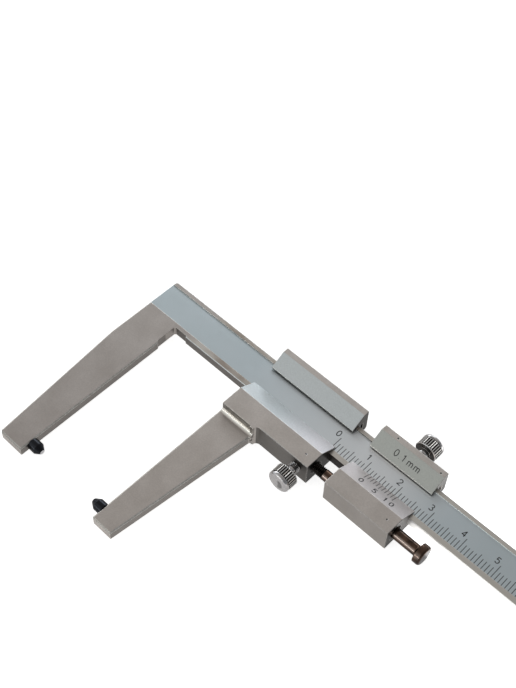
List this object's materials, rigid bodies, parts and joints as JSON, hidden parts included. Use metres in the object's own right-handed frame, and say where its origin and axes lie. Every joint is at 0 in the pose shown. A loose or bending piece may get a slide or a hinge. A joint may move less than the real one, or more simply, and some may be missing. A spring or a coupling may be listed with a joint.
{
  "type": "brake disc measuring caliper",
  "caption": "Flat steel vernier caliper with long tapered jaws, point tips, and a headed stop rod that joins two locking blocks, for measuring worn brake discs.",
  "frame": {"origin": "centre of the fixed tip's flat measuring face", "axes": "+X the way the jaws open, along the beam; +Y from the tips up to the beam; +Z out of the scale face"},
  "size_m": [0.1458, 0.0745, 0.0075],
  "materials": {
    "satin_steel": "satin ground, milled scale strip",
    "ground_steel": "fine ground",
    "black_tip": "hardened, black oxide",
    "dark_steel": "blackened",
    "spring_steel": "rolled strip",
    "brass_pad": "turned",
    "chromed_screw": "bright plated, straight knurl",
    "burnished_rod": "dark brown burnished"
  },
  "bodies": {
    "frame": {"beam": "satin_steel", "fixed_tip": "black_tip", "beam_stop_screw": "dark_steel"},
    "vernier": {"vernier_slider": "ground_steel"},
    "jaw": {"jaw_slider": "ground_steel", "movable_tip": "black_tip", "jaw_gib": "spring_steel", "jaw_gib_screws": "dark_steel", "stop_rod": "burnished_rod"},
    "vernier_shoe": {"vernier_gib": "spring_steel"},
    "vernier_screw": {"vernier_lock_screw": "chromed_screw"},
    "jaw_shoe": {"jaw_lock_pad": "brass_pad"},
    "jaw_screw": {"jaw_lock_screw": "chromed_screw"}
  },
  "joints": [
    {"name": "vernier_slide", "type": "slide", "parent": "frame", "child": "vernier", "axis": [1, 0, 0], "range_m": [-0.012, 0.048]},
    {"name": "jaw_slide", "type": "slide", "parent": "vernier", "child": "jaw", "axis": [1, 0, 0], "range_m": [-0.0072, 0.0055]},
    {"name": "vernier_shoe_slide", "type": "slide", "parent": "vernier", "child": "vernier_shoe", "axis": [0, 1, 0], "range_m": [-0.00005, 0.0005]},
    {"name": "vernier_screw_turn", "type": "hinge", "parent": "vernier_shoe", "child": "vernier_screw", "pos_m": [0.068, 0.064, 0.00095], "axis": [0, 1, 0], "range_deg": [-36.2, 360.2]},
    {"name": "jaw_shoe_slide", "type": "slide", "parent": "jaw", "child": "jaw_shoe", "axis": [0, -1, 0], "range_m": [-0.00005, 0.0005]},
    {"name": "jaw_screw_turn", "type": "hinge", "parent": "jaw_shoe", "child": "jaw_screw", "pos_m": [0.04775, 0.0409, 0.00095], "axis": [0, -1, 0], "range_deg": [-36.2, 360.2]}
  ],
  "couplings": [
    {"joint": "vernier_screw_turn", "follows": "vernier_shoe_slide", "rad_per_m": 12566},
    {"joint": "jaw_screw_turn", "follows": "jaw_shoe_slide", "rad_per_m": 12566}
  ]
}
